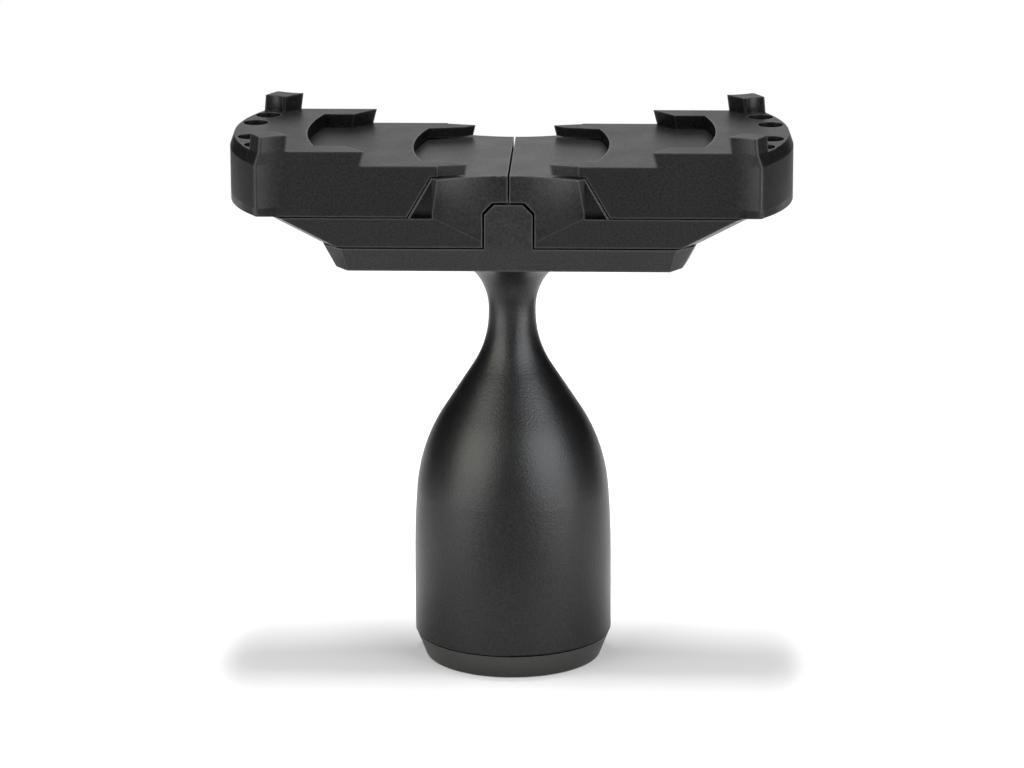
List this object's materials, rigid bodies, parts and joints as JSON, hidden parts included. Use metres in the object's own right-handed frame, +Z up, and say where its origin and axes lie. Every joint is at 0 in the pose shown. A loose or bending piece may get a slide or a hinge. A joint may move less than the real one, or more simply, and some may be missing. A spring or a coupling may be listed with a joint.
{
  "type": "miniature painting handle",
  "caption": "Bottle-shaped hand grip carrying a stepped, spring-loaded clamp head whose two jaws slide apart in two stages to hold model bases.",
  "frame": {"origin": "centre of the foot, on the surface that the handle stands on", "axes": "+Z up along the grip, X along the jaws' travel with the right jaw at +X, -Y the front"},
  "size_m": [0.1254, 0.0478, 0.1255],
  "materials": {
    "head_plastic": "fine spark texture",
    "grip_plastic": "satin, fine grain",
    "cap_plastic": "matte",
    "pad_rubber": "matte",
    "steel": "bright zinc",
    "brass": "turned"
  },
  "bodies": {
    "handle": {"grip_shell": "grip_plastic", "base_cap": "cap_plastic", "foot_pad": "pad_rubber", "ballast_weight": "steel", "head_bolt": "steel", "head_washer": "steel", "thread_insert": "brass", "head_bracket": "head_plastic", "hub_spring_pin": "steel", "carriage_spring_right": "steel", "carriage_spring_left": "steel"},
    "carriage_right": {"carriage_right": "head_plastic", "carriage_spring_pin_right": "steel", "carriage_stop_screw_right": "steel", "jaw_stop_screws_right": "steel", "jaw_spring_right": "steel"},
    "jaw_right": {"jaw_right": "head_plastic", "jaw_spring_post_right": "steel"},
    "carriage_left": {"carriage_left": "head_plastic", "carriage_spring_pin_left": "steel", "carriage_stop_screw_left": "steel", "jaw_stop_screws_left": "steel", "jaw_spring_left": "steel"},
    "jaw_left": {"jaw_left": "head_plastic", "jaw_spring_post_left": "steel"}
  },
  "joints": [
    {"name": "carriage_right_slide", "type": "slide", "parent": "handle", "child": "carriage_right", "axis": [1, 0, 0], "range_m": [0, 0.018], "stiffness_N_per_m": 150, "springref_m": -0.02, "deforming": ["carriage_spring_right"]},
    {"name": "jaw_right_slide", "type": "slide", "parent": "carriage_right", "child": "jaw_right", "axis": [1, 0, 0], "range_m": [0, 0.018], "stiffness_N_per_m": 150, "springref_m": -0.02, "deforming": ["jaw_spring_right"]},
    {"name": "carriage_left_slide", "type": "slide", "parent": "handle", "child": "carriage_left", "axis": [-1, 0, 0], "range_m": [0, 0.018], "stiffness_N_per_m": 150, "springref_m": -0.02, "deforming": ["carriage_spring_left"]},
    {"name": "jaw_left_slide", "type": "slide", "parent": "carriage_left", "child": "jaw_left", "axis": [-1, 0, 0], "range_m": [0, 0.018], "stiffness_N_per_m": 150, "springref_m": -0.02, "deforming": ["jaw_spring_left"]}
  ]
}
